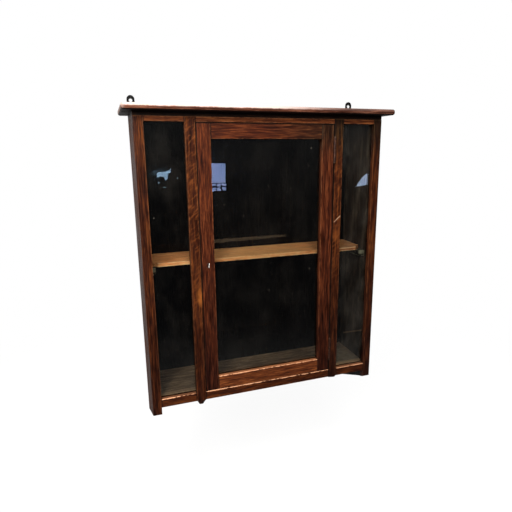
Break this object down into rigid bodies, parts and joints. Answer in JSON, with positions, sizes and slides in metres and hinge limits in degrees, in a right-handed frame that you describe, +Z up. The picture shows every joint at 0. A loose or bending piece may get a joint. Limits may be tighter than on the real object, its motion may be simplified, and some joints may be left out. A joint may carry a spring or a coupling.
{
  "type": "wall display bookcase",
  "caption": "Glazed oak wall bookcase with a central hinged glass door, fixed side lights, a loose shelf and ring plates for hanging.",
  "frame": {"origin": "on the wall plane, midway between the two hanging holes and level with them", "axes": "+X to the right seen from the front, +Y back into the wall, +Z up; the door faces -Y"},
  "size_m": [0.86, 0.238, 1.096],
  "materials": {
    "dark_oak": "dark reddish-brown stained oak, waxed, worn pale at the edges",
    "shelf_oak": "natural light oak, barely finished",
    "bearer_oak": "plain light oak, unfinished",
    "floor_oak": "grey-brown dusty oak",
    "back_oak": "very dark stained boards",
    "bead_oak": "dark stained oak beads",
    "old_glass": "clear old window glass, slightly hazy",
    "hinge_brass": "darkened brass butt hinges",
    "escutcheon_brass": "rubbed brass",
    "lock_iron": "dull iron lock",
    "screw_steel": "slotted steel screws",
    "blackened_iron": "black japanned iron plates"
  },
  "bodies": {
    "carcass": {"back_board_1": "back_oak", "back_board_2": "back_oak", "back_board_3": "back_oak", "back_screws": "screw_steel", "bearer_screws": "screw_steel", "bottom_rail_centre": "dark_oak", "bottom_rail_left": "dark_oak", "bottom_rail_right": "dark_oak", "door_stop": "dark_oak", "floor_board": "floor_oak", "hanging_plate_left": "blackened_iron", "hanging_plate_right": "blackened_iron", "hinge_lower_frame_leaf": "hinge_brass", "hinge_lower_pin": "hinge_brass", "hinge_screws_frame": "hinge_brass", "hinge_upper_frame_leaf": "hinge_brass", "hinge_upper_pin": "hinge_brass", "light_beads_left": "bead_oak", "light_beads_right": "bead_oak", "light_glass_left": "old_glass", "light_glass_right": "old_glass", "mullion_left": "dark_oak", "mullion_right": "dark_oak", "plate_screws": "screw_steel", "shelf_bearer_left": "bearer_oak", "shelf_bearer_right": "bearer_oak", "side_left": "dark_oak", "side_right": "dark_oak", "stile_left": "dark_oak", "stile_right": "dark_oak", "stop_screws": "screw_steel", "sub_top": "dark_oak", "top_board": "dark_oak", "top_rail_centre": "dark_oak", "top_rail_left": "dark_oak", "top_rail_right": "dark_oak", "top_screws": "screw_steel"},
    "door": {"door_beads": "bead_oak", "door_bottom_rail": "dark_oak", "door_glass": "old_glass", "door_stile_left": "dark_oak", "door_stile_right": "dark_oak", "door_top_rail": "dark_oak", "hinge_lower_door_leaf": "hinge_brass", "hinge_upper_door_leaf": "hinge_brass", "hinge_screws_door": "hinge_brass", "lock_case": "lock_iron", "lock_screws": "screw_steel", "escutcheon": "escutcheon_brass"},
    "lock_bolt": {"lock_bolt": "lock_iron"},
    "shelf": {"shelf": "shelf_oak"}
  },
  "joints": [
    {"name": "door_hinge", "type": "hinge", "parent": "carcass", "child": "door", "pos_m": [0.22575, -0.211, -0.5], "axis": [0, 0, 1], "range_deg": [0, 175]},
    {"name": "lock_bolt_slide", "type": "slide", "parent": "door", "child": "lock_bolt", "axis": [-1, 0, 0], "range_m": [0, 0.008]},
    {"name": "shelf_lift", "type": "slide", "parent": "carcass", "child": "shelf", "axis": [0, 0, 1], "range_m": [0, 0.04]}
  ]
}
